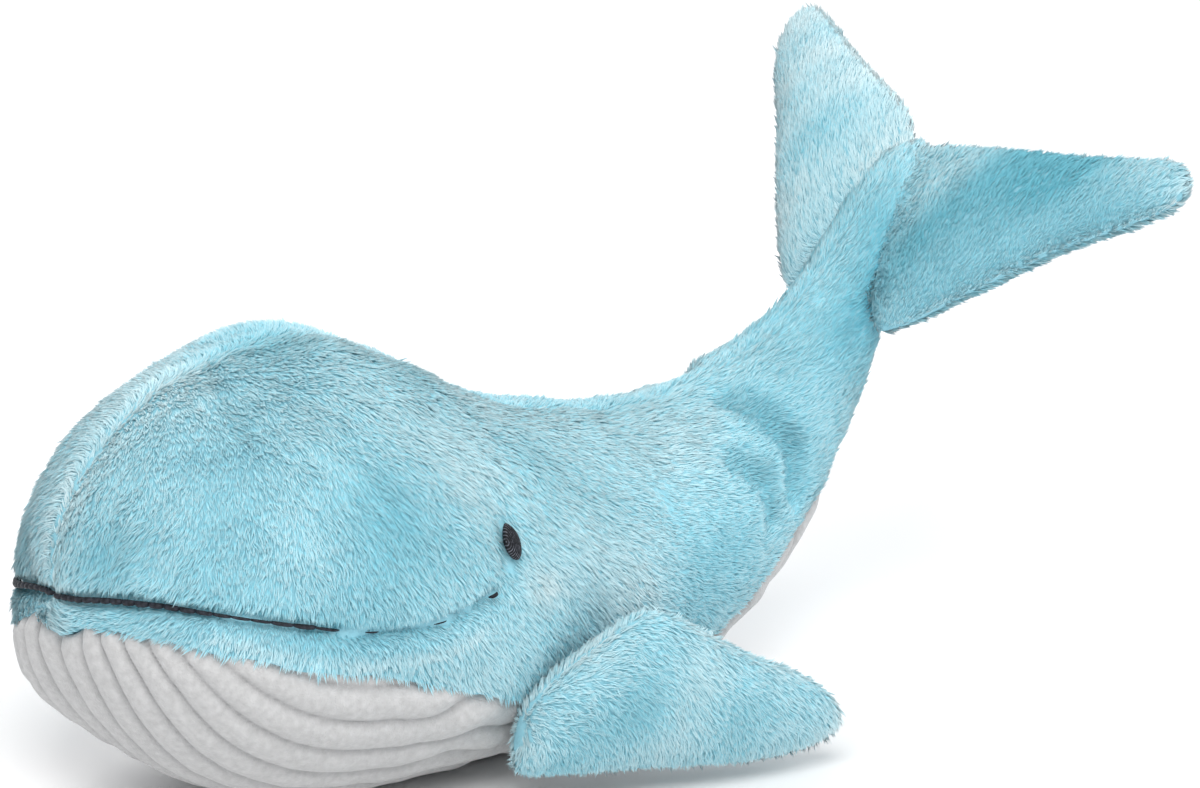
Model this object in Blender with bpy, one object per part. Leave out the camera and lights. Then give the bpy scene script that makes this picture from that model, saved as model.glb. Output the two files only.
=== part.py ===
"""A sewn and stuffed plush whale: metres, +Z up, head towards -X, its left side towards -Y.

The body is a run of rings along a bent spine. Its stuffing fills the rings, and its cloth panels
are curved slabs between the outer face and the same face drawn in. The tail, the flippers and the
flukes are pieces of their own, hinged where they are sewn on. The pile is counted in the outer face.
"""

from math import atan2, cos, pi, radians, sin

import bmesh
import bpy
import numpy as np
from mathutils import Matrix, Vector

# Driving sizes
body_length = 0.356
head_height = 0.158
head_width = 0.156
tail_rise = 0.182
fluke_reach = 0.105
fluke_chord = 0.072
fluke_thickness = 0.027
flipper_reach = 0.113
flipper_chord = 0.066
flipper_thickness = 0.024
cloth = 0.003
limb_cloth = 0.0025
lay_gap = 0.0004
filling_gap = 0.0006
seam_gap = 0.002
seam_thread = 0.0011
mouth_thread = 0.0016
crease_depth = 0.0022
crease_width = 0.0048
rib_height = 0.0016
eye_height = 0.0125
eye_width = 0.0085
eye_thickness = 0.0016
rest_flat = 0.0005
rest_along = 0.142
cutter_overrun = 0.02
stitch_width = 0.004
stitch_length = 0.016
tail_hinge_gap = 0.0016
mouth_sunk = 0.00075
eye_seat = 0.0001

# Body rings from the snout to the end of the tail stock, as shares of the length along, the tail's
# rise, half the head's height and half its width, each with its lean in degrees
ring_shares = (
    (0.000, 0.462, 0, 0.013, 0.013),
    (0.003, 0.462, 0, 0.175, 0.215),
    (0.016, 0.460, 0, 0.355, 0.430),
    (0.045, 0.455, 0, 0.560, 0.665),
    (0.096, 0.447, 0, 0.770, 0.845),
    (0.171, 0.442, 0, 0.930, 0.960),
    (0.264, 0.437, 0, 1.000, 1.000),
    (0.362, 0.398, 0, 0.917, 0.975),
    (0.452, 0.356, 2, 0.820, 0.910),
    (0.531, 0.326, 6, 0.750, 0.820),
    (0.593, 0.331, 12, 0.703, 0.730),
    (0.660, 0.360, 22, 0.615, 0.622),
    (0.733, 0.418, 32, 0.528, 0.506),
    (0.792, 0.500, 42, 0.437, 0.398),
    (0.846, 0.588, 52, 0.329, 0.308),
    (0.890, 0.692, 57, 0.240, 0.256),
    (0.924, 0.791, 57, 0.209, 0.237),
    (0.952, 0.876, 56, 0.184, 0.212),
    (0.978, 0.945, 54, 0.139, 0.167),
    (0.994, 0.989, 52, 0.063, 0.077),
    (0.999, 1.000, 52, 0.013, 0.013),
)
top_roundness, low_roundness = 2.1, 2.15

# Places on the body, as rings counted from the snout
body_places = (0.0, 0.45, 0.9, 1.15, 1.5, 2.0, 2.7, 3.5, 4.4, 5.3, 6.2, 6.9, 7.4, 8.2, 9.1, 10.0, 11.0,
               12.0, 13.0, 14.0, 15.0, 16.0, 17.0, 18.0, 19.0, 19.5)
mouth_start_ring = 0.45
mouth_sink_start_ring, mouth_sink_end_ring = 0.9, 1.5
crease_fade_ring = 6.5
filling_start_ring = 1.15
head_end_ring = 6.9
split_share = 0.03
tail_hinge_ring = 12.0
front_end_ring = 13.0
tail_start_ring = 10.0
tail_end_ring = 19.5
filling_end_ring = 18.0
belly_start_ring = 1.15
belly_end_ring = 14.0
fluke_first_ring, fluke_ring, fluke_last_ring = 15, 16.55, 18.5
flipper_ring = 7.35
eye_ring = 7.14
closing_ring = 9.6

# Angles round the body, in degrees up from the middle of the belly, against the ring
belly_seam_angles = ((1.0, 66), (1.8, 80), (2.8, 86), (4.3, 84), (5.5, 78), (6.5, 71), (7.1, 67),
                     (8.2, 60), (10.0, 54), (12.2, 50), (13.2, 34), (14.0, 14))
mouth_angles = ((0.0, 98), (1.4, 101), (2.8, 100), (3.8, 96), (4.7, 92), (5.5, 88), (6.2, 88),
                (6.5, 90), (6.9, 96))
eye_angle = 110
flipper_angle = 64
fluke_droop = 8

# Outlines of the limbs: place along the reach, front edge, back edge, thickness, all as shares
fluke_shares = (
    (0.00, -0.43, 0.58, 0.34),
    (0.07, -0.39, 0.605, 0.76),
    (0.20, -0.27, 0.64, 1.00),
    (0.38, -0.09, 0.655, 0.98),
    (0.60, 0.12, 0.68, 0.86),
    (0.80, 0.26, 0.705, 0.74),
    (0.93, 0.38, 0.69, 0.52),
    (1.00, 0.50, 0.60, 0.12),
)
flipper_shares = (
    (0.00, -0.10, 0.30, 0.36),
    (0.06, -0.16, 0.55, 0.70),
    (0.15, -0.19, 0.72, 0.90),
    (0.26, -0.20, 0.86, 1.00),
    (0.36, -0.20, 0.84, 1.00),
    (0.50, -0.19, 0.73, 0.97),
    (0.66, -0.165, 0.585, 0.88),
    (0.80, -0.12, 0.50, 0.74),
    (0.92, -0.03, 0.38, 0.50),
    (1.00, 0.10, 0.22, 0.15),
)

# How the flipper lies: its root against the body's half width and its own chord, and its two directions
flipper_seat_share = 0.853
flipper_drop_share = 0.264
flipper_reach_way = (0.96, -0.22, -0.06)
flipper_hinge_way = (0.05, -0.3, 0.95)

# How fine the pieces are
body_columns, tail_columns, stuffing_sides, limb_columns = 14, 10, 16, 8
rib_count = 11
closing_points = 5
cutter_sides = 48


def clear_scene():
    for found in list(bpy.data.objects):
        bpy.data.objects.remove(found, do_unlink=True)


def material(name, colour, roughness):
    made = bpy.data.materials.new(name)
    made.use_nodes = True
    shader = made.node_tree.nodes["Principled BSDF"]
    shader.inputs["Base Color"].default_value = (*colour, 1)
    shader.inputs["Roughness"].default_value = roughness
    shader.inputs["Metallic"].default_value = 0
    return made


def read_along(pairs, place):
    """The value of a table of (place, value) pairs at this place."""
    places, values = zip(*pairs)
    return float(np.interp(place, places, values))


def places_in(first, last):
    return [place for place in body_places if first <= place <= last]


def ring_at(place):
    """The ring at this place, from a smooth curve through the table: x, z, lean, half height, half width."""
    rows = np.array(ring_shares)
    rows = np.vstack([2 * rows[0] - rows[1], rows, 2 * rows[-1] - rows[-2]])
    first = min(int(place), len(ring_shares) - 2)
    part = place - first
    before, start, end, after = rows[first : first + 4]
    row = 0.5 * (
        2 * start
        + (end - before) * part
        + (2 * before - 5 * start + 4 * end - after) * part**2
        + (3 * start - before - 3 * end + after) * part**3
    )
    sizes = (body_length, tail_rise, radians(1), head_height / 2, head_width / 2)
    return row * sizes - (rest_along, rest_flat, 0, 0, 0)


def on_ring(place, angle):
    """The point of the outer face at this angle, up from the belly and towards the left for angles over 0."""
    x, z, lean, half_height, half_width = ring_at(place)
    up, out = -cos(angle), sin(angle)
    power = 2 / (low_roundness if up < 0 else top_roundness)
    rise = np.sign(up) * abs(up) ** power * half_height
    side = -np.sign(out) * abs(out) ** power * half_width
    return Vector((x - sin(lean) * rise, side, z + cos(lean) * rise))


def outward(place, angle):
    """The outer face's own direction out, from two small steps along it."""
    step = 0.02
    place = min(max(place, step), len(ring_shares) - 1 - step)
    along = on_ring(place + step, angle) - on_ring(place - step, angle)
    around = on_ring(place, angle + step) - on_ring(place, angle - step)
    return along.cross(around).normalized()


def body_point(place, angle, depth=0.0):
    return on_ring(place, angle) - outward(place, angle) * depth


def turn_for(place, angle, width):
    """The angle that covers this width of the face."""
    step = 0.02
    per_turn = (on_ring(place, angle + step) - on_ring(place, angle - step)).length / (2 * step)
    return min(width / per_turn, 0.5)


def make(name, vertices, faces, look):
    mesh = bpy.data.meshes.new(name)
    mesh.from_pydata([tuple(v) for v in vertices], [], faces)
    work = bmesh.new()
    work.from_mesh(mesh)
    bmesh.ops.recalc_face_normals(work, faces=work.faces)
    work.to_mesh(mesh)
    work.free()
    made = bpy.data.objects.new(name, mesh)
    made.data.materials.append(look)
    bpy.context.scene.collection.objects.link(made)
    mesh.shade_smooth()
    mesh.set_sharp_from_angle(angle=radians(50))
    return made


def slab(name, outer, inner, look):
    """A closed curved slab between two grids of points, each a list of rows as long as the others."""
    rows, columns = len(outer), len(outer[0])
    vertices = [p for row in outer for p in row] + [p for row in inner for p in row]
    below = rows * columns
    faces = []
    for i in range(rows - 1):
        for j in range(columns - 1):
            a, b = i * columns + j, i * columns + j + 1
            c, d = b + columns, a + columns
            faces.append((a, b, c, d))
            faces.append((a + below, d + below, c + below, b + below))
    rim = [j for j in range(columns)]
    rim += [i * columns + columns - 1 for i in range(1, rows)]
    rim += [(rows - 1) * columns + j for j in range(columns - 2, -1, -1)]
    rim += [i * columns for i in range(rows - 2, 0, -1)]
    for a, b in zip(rim, rim[1:] + rim[:1]):
        faces.append((b, a, a + below, b + below))
    return make(name, vertices, faces, look)


def filled(name, rings, look):
    """A closed solid through rings of points, with a flat end at each."""
    sides = len(rings[0])
    vertices = [p for ring in rings for p in ring]
    faces = []
    for i in range(len(rings) - 1):
        for j in range(sides):
            k = (j + 1) % sides
            faces.append((i * sides + j, i * sides + k, (i + 1) * sides + k, (i + 1) * sides + j))
    faces.append(tuple(range(sides - 1, -1, -1)))
    faces.append(tuple((len(rings) - 1) * sides + j for j in range(sides)))
    return make(name, vertices, faces, look)


def mirrored(name, source, look):
    """The same piece on the whale's right."""
    mesh = source.data.copy()
    mesh.name = name
    mesh.transform(Matrix.Scale(-1, 4, Vector((0, 1, 0))))
    mesh.flip_normals()
    made = bpy.data.objects.new(name, mesh)
    mesh.materials.clear()
    mesh.materials.append(look)
    bpy.context.scene.collection.objects.link(made)
    return made


def tube(name, points, thickness, look):
    curve = bpy.data.curves.new(name, "CURVE")
    curve.dimensions = "3D"
    curve.bevel_depth = thickness / 2
    curve.bevel_resolution = 1
    curve.use_fill_caps = True
    line = curve.splines.new("POLY")
    line.points.add(len(points) - 1)
    for spot, point in zip(line.points, points):
        spot.co = (*point, 1)
    made = bpy.data.objects.new(name, curve)
    made.data.materials.append(look)
    bpy.context.scene.collection.objects.link(made)
    return made


def as_mesh(found):
    """A curve object turned into a mesh object of the same name, so that a Boolean can cut it."""
    graph = bpy.context.evaluated_depsgraph_get()
    mesh = bpy.data.meshes.new_from_object(found.evaluated_get(graph))
    name = found.name
    bpy.data.objects.remove(found, do_unlink=True)
    mesh.name = name
    made = bpy.data.objects.new(name, mesh)
    bpy.context.scene.collection.objects.link(made)
    return made


def hide_cutter(cutter):
    cutter.hide_render = True
    cutter.display_type = "WIRE"
    return cutter


def cut(found, cutter, operation):
    boolean = found.modifiers.new(cutter.name, "BOOLEAN")
    boolean.object = cutter
    boolean.operation = operation


def set_origin(found, point):
    found.data.transform(Matrix.Translation(-point))
    found.location = point


# The tail's hinge: everything behind it, and a round nose in front of it that turns in a round hollow
tail_hinge = body_point(tail_hinge_ring, 0) * 0.5 + body_point(tail_hinge_ring, pi) * 0.5
tail_lean = ring_at(tail_hinge_ring)[2]
tail_nose = ring_at(tail_hinge_ring)[3] + tail_hinge_gap


def tail_cutter(name, radius):
    """A prism across the body: a half disc in front of the hinge and all that lies behind it."""
    back = Vector((cos(tail_lean), 0, sin(tail_lean)))
    up = Vector((-sin(tail_lean), 0, cos(tail_lean)))
    far = body_length + tail_rise
    profile = []
    for i in range(cutter_sides + 1):
        turn = pi * i / cutter_sides
        profile.append(tail_hinge + up * radius * cos(turn) - back * radius * sin(turn))
    profile.append(tail_hinge - up * far)
    profile.append(tail_hinge - up * far + back * far)
    profile.append(tail_hinge + up * far + back * far)
    profile.append(tail_hinge + up * far)
    across = Vector((0, head_width / 2 + cutter_overrun, 0))
    rings = [[p - across for p in profile], [p + across for p in profile]]
    return hide_cutter(filled(name, rings, cutter_look))


def floor_cutter(name):
    """What would lie below the surface that the whale rests on: it is cut flat there."""
    low, high = -cutter_overrun, 0
    x0, x1 = -body_length, body_length
    y = head_width / 2 + flipper_reach
    corners = [Vector((x0, -y, 0)), Vector((x1, -y, 0)), Vector((x1, y, 0)), Vector((x0, y, 0))]
    rings = [[Vector((c.x, c.y, z)) for c in corners] for z in (low, high)]
    return hide_cutter(filled(name, rings, cutter_look))


# Body panels and stuffing


def seam_angle(place):
    return radians(read_along(belly_seam_angles, place)) if place >= 1 else 0.0


def mouth_angle(place):
    return radians(read_along(mouth_angles, place))


def side_row(place, columns):
    """Angles across a side panel at this place, closer together at the mouth's crease."""
    low, high = seam_angle(place), pi
    low += turn_for(place, low, seam_gap / 2)
    high -= turn_for(place, high, seam_gap / 2)
    if place > head_end_ring + 1:
        return list(np.linspace(low, high, columns))
    middle = mouth_angle(min(place, head_end_ring))
    half = min(turn_for(place, middle, crease_width / 2), (middle - low) / 2)
    below = columns // 3 - 1
    return [
        *np.linspace(low, middle - half, below),
        middle,
        *np.linspace(middle + half, high, columns - below - 1),
    ]


def crease_at(place, angle):
    """How far the mouth's stitches draw the face in."""
    fade_share = min(1, max(0, head_end_ring - place) / (head_end_ring - crease_fade_ring))
    return crease_depth * fade_share if abs(angle - mouth_angle(min(place, head_end_ring))) < 1e-6 else 0.0


def side_panel(name, places, columns, look):
    outer, inner = [], []
    for place in places:
        angles = side_row(place, columns)
        outer.append([body_point(place, a, crease_at(place, a)) for a in angles])
        inner.append([body_point(place, a, cloth) for a in angles])
    return slab(name, outer, inner, look)


def belly_panel(name, places, look):
    """The ribbed panel: its ribs stand on every other line of points and its channels lie between."""
    outer, inner = [], []
    lines = 2 * rib_count + 1
    for place in places:
        edge = seam_angle(place)
        edge -= turn_for(place, edge, seam_gap / 2)
        angles = np.linspace(-edge, edge, lines)
        depths = [rib_height if i % 2 == 0 else 0.0 for i in range(lines)]
        outer.append([body_point(place, a, d) for a, d in zip(angles, depths)])
        inner.append([body_point(place, a, cloth) for a in angles])
    return slab(name, outer, inner, look)


def stuffing(name, places, look):
    depth = cloth + filling_gap
    turns = [2 * pi * i / stuffing_sides for i in range(stuffing_sides)]
    return filled(name, [[body_point(p, t, depth) for t in turns] for p in places], look)


def seam(name, points, look):
    return as_mesh(tube(name, points, seam_thread, look))


# Limbs, each a leaf about a hinge at its root


class Limb:
    """A leaf's frame and outline: root on its hinge, reach away from it, chord along it."""

    def __init__(self, root, reach_way, hinge_way, reach, chord, thickness, shares, pivot_share=0):
        self.root = root
        self.hinge_way = hinge_way.normalized()
        self.pivot = root + self.hinge_way * chord * pivot_share
        self.reach_way = (reach_way - self.hinge_way * reach_way.dot(self.hinge_way)).normalized()
        self.face_way = self.reach_way.cross(self.hinge_way)
        self.reach, self.chord, self.thickness, self.shares = reach, chord, thickness, shares

    def rings(self):
        """(reach, front, back, half thickness) of each ring, from the round nose at the root to the tip."""
        first = self.shares[0]
        nose = first[3] * self.thickness / 2
        found = []
        for turn in (radians(75), radians(40)):
            found.append((-nose * sin(turn), first[1] * self.chord, first[2] * self.chord, nose * cos(turn)))
        for along, front, back, thick in self.shares:
            half = thick * self.thickness / 2
            found.append((along * self.reach, front * self.chord, back * self.chord, half))
        return found

    def point(self, ring, turn, depth):
        """A point round a ring, drawn in by up to this depth."""
        along, front, back, half = ring
        thin_share = 1 - depth / (self.thickness / 2)
        narrow_share = 1 - depth / (self.chord / 2)
        middle, across = (front + back) / 2, (back - front) / 2
        along = self.reach / 2 + (along - self.reach / 2) * (1 - depth / (self.reach / 2))
        return (
            self.root
            + self.reach_way * along
            + self.hinge_way * (middle + across * narrow_share * cos(turn))
            + self.face_way * (half * thin_share * sin(turn))
        )

    def panel(self, name, upper, look):
        """The cloth of one face, which stops short of the other at the edge seam."""
        outer, inner = [], []
        for ring in self.rings():
            gap = min(0.3, lay_gap / ring[3])
            turns = np.linspace(gap, pi - gap, limb_columns)
            turns = turns if upper else turns - pi
            outer.append([self.point(ring, t, 0) for t in turns])
            inner.append([self.point(ring, t, limb_cloth) for t in turns])
        return slab(name, outer, inner, look)

    def stuffing(self, name, look):
        sides = 2 * limb_columns - 4
        turns = [2 * pi * i / sides for i in range(sides)]
        depth = limb_cloth + filling_gap
        rings = [[self.point(r, t, depth) for t in turns] for r in self.rings()]
        return filled(name, rings, look)


def fluke_limb():
    """The left fluke, hinged along the side of the tail stock."""
    x, z, lean, half_height, half_width = ring_at(fluke_ring)
    later = ring_at(fluke_last_ring)
    earlier = ring_at(fluke_first_ring)
    taper = atan2(earlier[4] - later[4], np.hypot(later[0] - earlier[0], later[1] - earlier[1]))
    stock_way = Vector((cos(lean), 0, sin(lean)))
    stock_up = Vector((-sin(lean), 0, cos(lean)))
    nose = fluke_shares[0][3] * fluke_thickness / 2
    root = Vector((x, -(half_width + nose + lay_gap), z))
    hinge_way = stock_way * cos(taper) + Vector((0, sin(taper), 0))
    reach_way = Vector((0, -1, 0)) * cos(radians(fluke_droop)) - stock_up * sin(radians(fluke_droop))
    return Limb(root, reach_way, hinge_way, fluke_reach, fluke_chord, fluke_thickness, fluke_shares)


def flipper_limb():
    """The left flipper, sewn low on the side. It swings round the top end of its sewn root."""
    nose = flipper_shares[0][3] * flipper_thickness / 2
    seat = on_ring(flipper_ring, radians(flipper_angle))
    widest = -ring_at(flipper_ring)[4]
    root = Vector((seat.x, widest * flipper_seat_share - nose, seat.z - flipper_chord * flipper_drop_share))
    return Limb(
        root,
        Vector(flipper_reach_way),
        Vector(flipper_hinge_way),
        flipper_reach,
        flipper_chord,
        flipper_thickness,
        flipper_shares,
        flipper_shares[0][2],
    )


clear_scene()
blue_fur = material("blue_fur", (0.22, 0.53, 0.65), 0.95)
white_minky = material("white_minky", (0.78, 0.78, 0.80), 0.9)
black_thread = material("black_thread", (0.01, 0.011, 0.015), 0.6)
blue_thread = material("blue_thread", (0.20, 0.48, 0.60), 0.7)
filling = material("filling", (0.9, 0.9, 0.88), 1.0)
cutter_look = material("cutter", (1, 0, 0), 1.0)

# Head, torso and tail stock
torso_side = tail_cutter("torso_cutter", tail_nose + lay_gap)
tail_side = tail_cutter("tail_cutter", tail_nose)
under_floor = floor_cutter("floor_cutter")

left_side = side_panel("left_side_panel", places_in(0, front_end_ring), body_columns, blue_fur)
right_side = mirrored("right_side_panel", left_side, blue_fur)
left_tail = side_panel("left_tail_panel", places_in(tail_start_ring, tail_end_ring), tail_columns, blue_fur)
right_tail = mirrored("right_tail_panel", left_tail, blue_fur)
belly = belly_panel("belly_panel", places_in(belly_start_ring, front_end_ring), white_minky)
tail_belly = belly_panel("tail_belly_panel", places_in(tail_start_ring, belly_end_ring), white_minky)

head_places = places_in(filling_start_ring, head_end_ring)
torso_places = [head_end_ring + split_share, *places_in(head_end_ring + split_share, front_end_ring)]
tail_places = places_in(tail_start_ring, filling_end_ring)
head_filling = stuffing("head_stuffing", head_places, filling)
torso_filling = stuffing("torso_stuffing", torso_places, filling)
tail_filling = stuffing("tail_stuffing", tail_places, filling)

# Threads in the seams
thread_depth = cloth / 2
back_points = [body_point(p, pi, thread_depth) for p in places_in(1, front_end_ring)]
back_seam = seam("back_seam", back_points, blue_thread)
tail_points = [body_point(p, pi, thread_depth) for p in places_in(tail_start_ring, tail_end_ring)]
tail_seam = seam("tail_seam", tail_points, blue_thread)
left_belly_seam = seam(
    "left_belly_seam",
    [body_point(p, seam_angle(p), thread_depth) for p in places_in(2, front_end_ring)],
    blue_thread,
)
right_belly_seam = mirrored("right_belly_seam", left_belly_seam, blue_thread)

for found in (left_side, right_side, belly, torso_filling, back_seam, left_belly_seam, right_belly_seam):
    cut(found, torso_side, "DIFFERENCE")
tail_pieces = [left_tail, right_tail, tail_belly, tail_filling, tail_seam]
for found in tail_pieces:
    cut(found, tail_side, "INTERSECT")
cut(belly, under_floor, "DIFFERENCE")

# Mouth thread, in its crease and over the snout
mouth_places = places_in(mouth_start_ring, head_end_ring)
mouth_over = mouth_thread / 2 + lay_gap
mouth_side = []
for place in mouth_places:
    sink_rings = mouth_sink_end_ring - mouth_sink_start_ring
    sink_share = min(1, max(0, (place - mouth_sink_start_ring) / sink_rings))
    depth = (mouth_sunk + mouth_over) * sink_share - mouth_over
    mouth_side.append(body_point(place, mouth_angle(place), depth))
mouth_side[-1] = body_point(head_end_ring, mouth_angle(head_end_ring), -mouth_over)
nose_tip = body_point(0, mouth_angle(0), -mouth_over)
other_side = [Vector((p.x, -p.y, p.z)) for p in mouth_side]
mouth_line = tube(
    "mouth_thread",
    [*reversed(mouth_side), Vector((nose_tip.x, 0, nose_tip.z)), *other_side],
    mouth_thread,
    black_thread,
)


def eye(name, look):
    """A low oval dome of stitches, lying on the fur."""
    centre = on_ring(eye_ring, radians(eye_angle))
    out = outward(eye_ring, radians(eye_angle))
    up = (Vector((0, 0, 1)) - out * out.z).normalized()
    along = up.cross(out)
    dome = []
    for size_share, height_share in ((1.0, 0.0), (0.94, 0.45), (0.68, 0.85), (0.25, 1.0)):
        ring = []
        for i in range(stuffing_sides):
            turn = 2 * pi * i / stuffing_sides
            spot = up * eye_height / 2 * cos(turn) + along * eye_width / 2 * sin(turn)
            ring.append(centre + spot * size_share + out * (eye_seat + eye_thickness * height_share))
        dome.append(ring)
    return filled(name, dome, look)


left_eye = eye("left_eye", black_thread)
right_eye = mirrored("right_eye", left_eye, black_thread)

# The ladder stitch that closes the turning gap, beside the left belly seam
closing = []
for i in range(closing_points):
    offset = (i / (closing_points - 1) - 0.5) * stitch_length
    place = closing_ring + offset / (body_length / len(ring_shares))
    side = stitch_width / 2 * (1 if i % 2 else -1)
    angle = seam_angle(place) + turn_for(place, seam_angle(place), side + stitch_width)
    closing.append(body_point(place, angle, -(seam_thread / 2 + lay_gap)))
closing_stitch = tube("closing_stitch", closing, seam_thread, blue_thread)

# Flukes and flippers
limb_pieces = {}
for limb_name, limb in (("fluke", fluke_limb()), ("flipper", flipper_limb())):
    made = {
        "upper": limb.panel(f"left_{limb_name}_upper", True, blue_fur),
        "under": limb.panel(f"left_{limb_name}_under", False, blue_fur),
        "stuffing": limb.stuffing(f"left_{limb_name}_stuffing", filling),
    }
    for piece_name, found in list(made.items()):
        other = mirrored(f"right_{limb_name}_{piece_name}", found, found.data.materials[0])
        set_origin(found, limb.pivot)
        set_origin(other, Vector((limb.pivot.x, -limb.pivot.y, limb.pivot.z)))
    print(limb_name, "pivot", [round(v, 4) for v in limb.pivot], "way", [round(v, 4) for v in limb.hinge_way])

for found in tail_pieces:
    set_origin(found, tail_hinge)
print("tail hinge", tuple(round(v, 4) for v in tail_hinge))
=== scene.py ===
from math import cos, pi, radians, sin

import bpy
import numpy as np
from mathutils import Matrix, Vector


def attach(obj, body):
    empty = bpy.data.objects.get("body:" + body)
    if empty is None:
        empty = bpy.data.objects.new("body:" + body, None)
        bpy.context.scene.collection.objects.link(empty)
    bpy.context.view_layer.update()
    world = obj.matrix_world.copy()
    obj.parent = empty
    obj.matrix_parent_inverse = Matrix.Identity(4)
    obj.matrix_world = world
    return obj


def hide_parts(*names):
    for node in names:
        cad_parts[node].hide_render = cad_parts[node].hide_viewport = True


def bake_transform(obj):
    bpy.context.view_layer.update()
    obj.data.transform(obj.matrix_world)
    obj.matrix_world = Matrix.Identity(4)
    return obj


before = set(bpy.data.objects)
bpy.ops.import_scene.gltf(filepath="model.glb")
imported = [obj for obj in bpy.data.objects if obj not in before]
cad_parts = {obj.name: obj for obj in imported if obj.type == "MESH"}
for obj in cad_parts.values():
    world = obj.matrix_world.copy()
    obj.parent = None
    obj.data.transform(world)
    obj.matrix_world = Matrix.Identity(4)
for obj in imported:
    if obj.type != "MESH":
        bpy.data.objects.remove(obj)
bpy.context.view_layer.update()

# Studio. A white sweep of paper, a large soft lamp ahead and above on the whale's left, a fill from
# the other side, and a camera with a long lens at the height of a table.
bpy.ops.object.select_all(action="DESELECT")
bpy.ops.mesh.primitive_plane_add(size=14, location=(0, 0, -0.0003))
sweep = bpy.context.object
sweep.name = "paper_sweep"
target = Vector((0.076, 0.0, 0.1135))
way_back = Vector((sin(radians(-35)) * cos(radians(17)), -cos(radians(-35)) * cos(radians(17)), sin(radians(17))))
bpy.ops.object.camera_add(location=target + way_back * 2.2)
camera = bpy.context.object
camera.rotation_euler = (-way_back).to_track_quat("-Z", "Y").to_euler()
camera.data.lens = 194
bpy.context.scene.camera = camera


def lamp(place, size, power, colour):
    bpy.ops.object.light_add(type="AREA", location=place)
    made = bpy.context.object
    made.rotation_euler = (target - Vector(place)).to_track_quat("-Z", "Y").to_euler()
    made.data.size, made.data.energy, made.data.color = size, power, colour


lamp((-0.7, -1.1, 1.5), 1.1, 26, (1.0, 0.985, 0.97))
lamp((1.3, -0.9, 0.9), 1.2, 8, (0.97, 0.985, 1.0))
lamp((0.3, 1.3, 1.3), 1.2, 12, (1.0, 1.0, 1.0))
world = bpy.data.worlds.new("studio")
bpy.context.scene.world = world
world.use_nodes = True
world.node_tree.nodes["Background"].inputs["Color"].default_value = (0.97, 0.985, 1.0, 1)
world.node_tree.nodes["Background"].inputs["Strength"].default_value = 0.62
bpy.context.scene.view_settings.view_transform = "Standard"


class Socket:
    """One output of a look's nodes. Sums and products of these add Math nodes."""

    def __init__(self, look, link):
        self.look, self.link = look, link

    def _math(self, operation, first, second):
        return self.look.node("ShaderNodeMath", {"operation": operation}, {0: first, 1: second})

    def __add__(self, other):
        return self._math("ADD", self, other)

    def __radd__(self, other):
        return self._math("ADD", other, self)

    def __sub__(self, other):
        return self._math("SUBTRACT", self, other)

    def __rsub__(self, other):
        return self._math("SUBTRACT", other, self)

    def __mul__(self, other):
        return self._math("MULTIPLY", self, other)

    def __rmul__(self, other):
        return self._math("MULTIPLY", other, self)


class Look:
    """A material with one Principled shader and the nodes that drive it."""

    def __init__(self, name, **uniform):
        self.material = bpy.data.materials.new(name)
        self.material.use_nodes = True
        self.tree = self.material.node_tree
        self.shader = self.tree.nodes["Principled BSDF"]
        for socket, value in uniform.items():
            self.shader.inputs[socket.replace("_", " ")].default_value = value

    def node(self, kind, settings, sockets, out=0):
        made = self.tree.nodes.new(kind)
        for key, value in settings.items():
            if key == "stops":
                for stop in value[2:]:
                    made.color_ramp.elements.new(stop[0])
                for element, (place, colour) in zip(made.color_ramp.elements, value):
                    element.position, element.color = place, (*colour, 1)
            else:
                setattr(made, key, value)
        for key, value in sockets.items():
            if isinstance(value, Socket):
                self.tree.links.new(value.link, made.inputs[key])
            else:
                made.inputs[key].default_value = value
        return Socket(self, made.outputs[out])

    def noise(self, scale, detail=2):
        place = self.node("ShaderNodeTexCoord", {}, {}, 3)
        return self.node("ShaderNodeTexNoise", {}, {"Vector": place, "Scale": scale, "Detail": detail})

    def attribute(self, name):
        return self.node("ShaderNodeAttribute", {"attribute_name": name}, {}, "Fac")

    def ramp(self, value, stops):
        return self.node("ShaderNodeValToRGB", {"stops": stops}, {0: value})

    def mix(self, share, first, second, blend="MIX"):
        settings = {"data_type": "RGBA", "blend_type": blend}
        return self.node("ShaderNodeMix", settings, {0: share, 6: first, 7: second}, 2)

    def drive(self, socket, value):
        self.tree.links.new(value.link, self.shader.inputs[socket])

    def bump(self, height, strength, distance):
        values = {"Height": height, "Strength": strength, "Distance": distance}
        self.drive("Normal", self.node("ShaderNodeBump", {}, values))


paper = Look("white_paper", Roughness=0.9, Specular_IOR_Level=0.1)
paper.drive("Base Color", paper.ramp(paper.noise(3.0), ((0.3, (0.93, 0.93, 0.935)), (0.7, (0.95, 0.95, 0.95)))))
sweep.data.materials.append(paper.material)

# Stuffed body. Polyester fibre fills a tube of cloth that is round at the head, low behind it and
# bent up at the tail. The stitched creases draw the cloth in. What shows of it is the backing of the
# pile at the bottom of each parting, its blue painted deeper as shade.
mm = 0.001
pile_depth = 2.2 * mm
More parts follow.
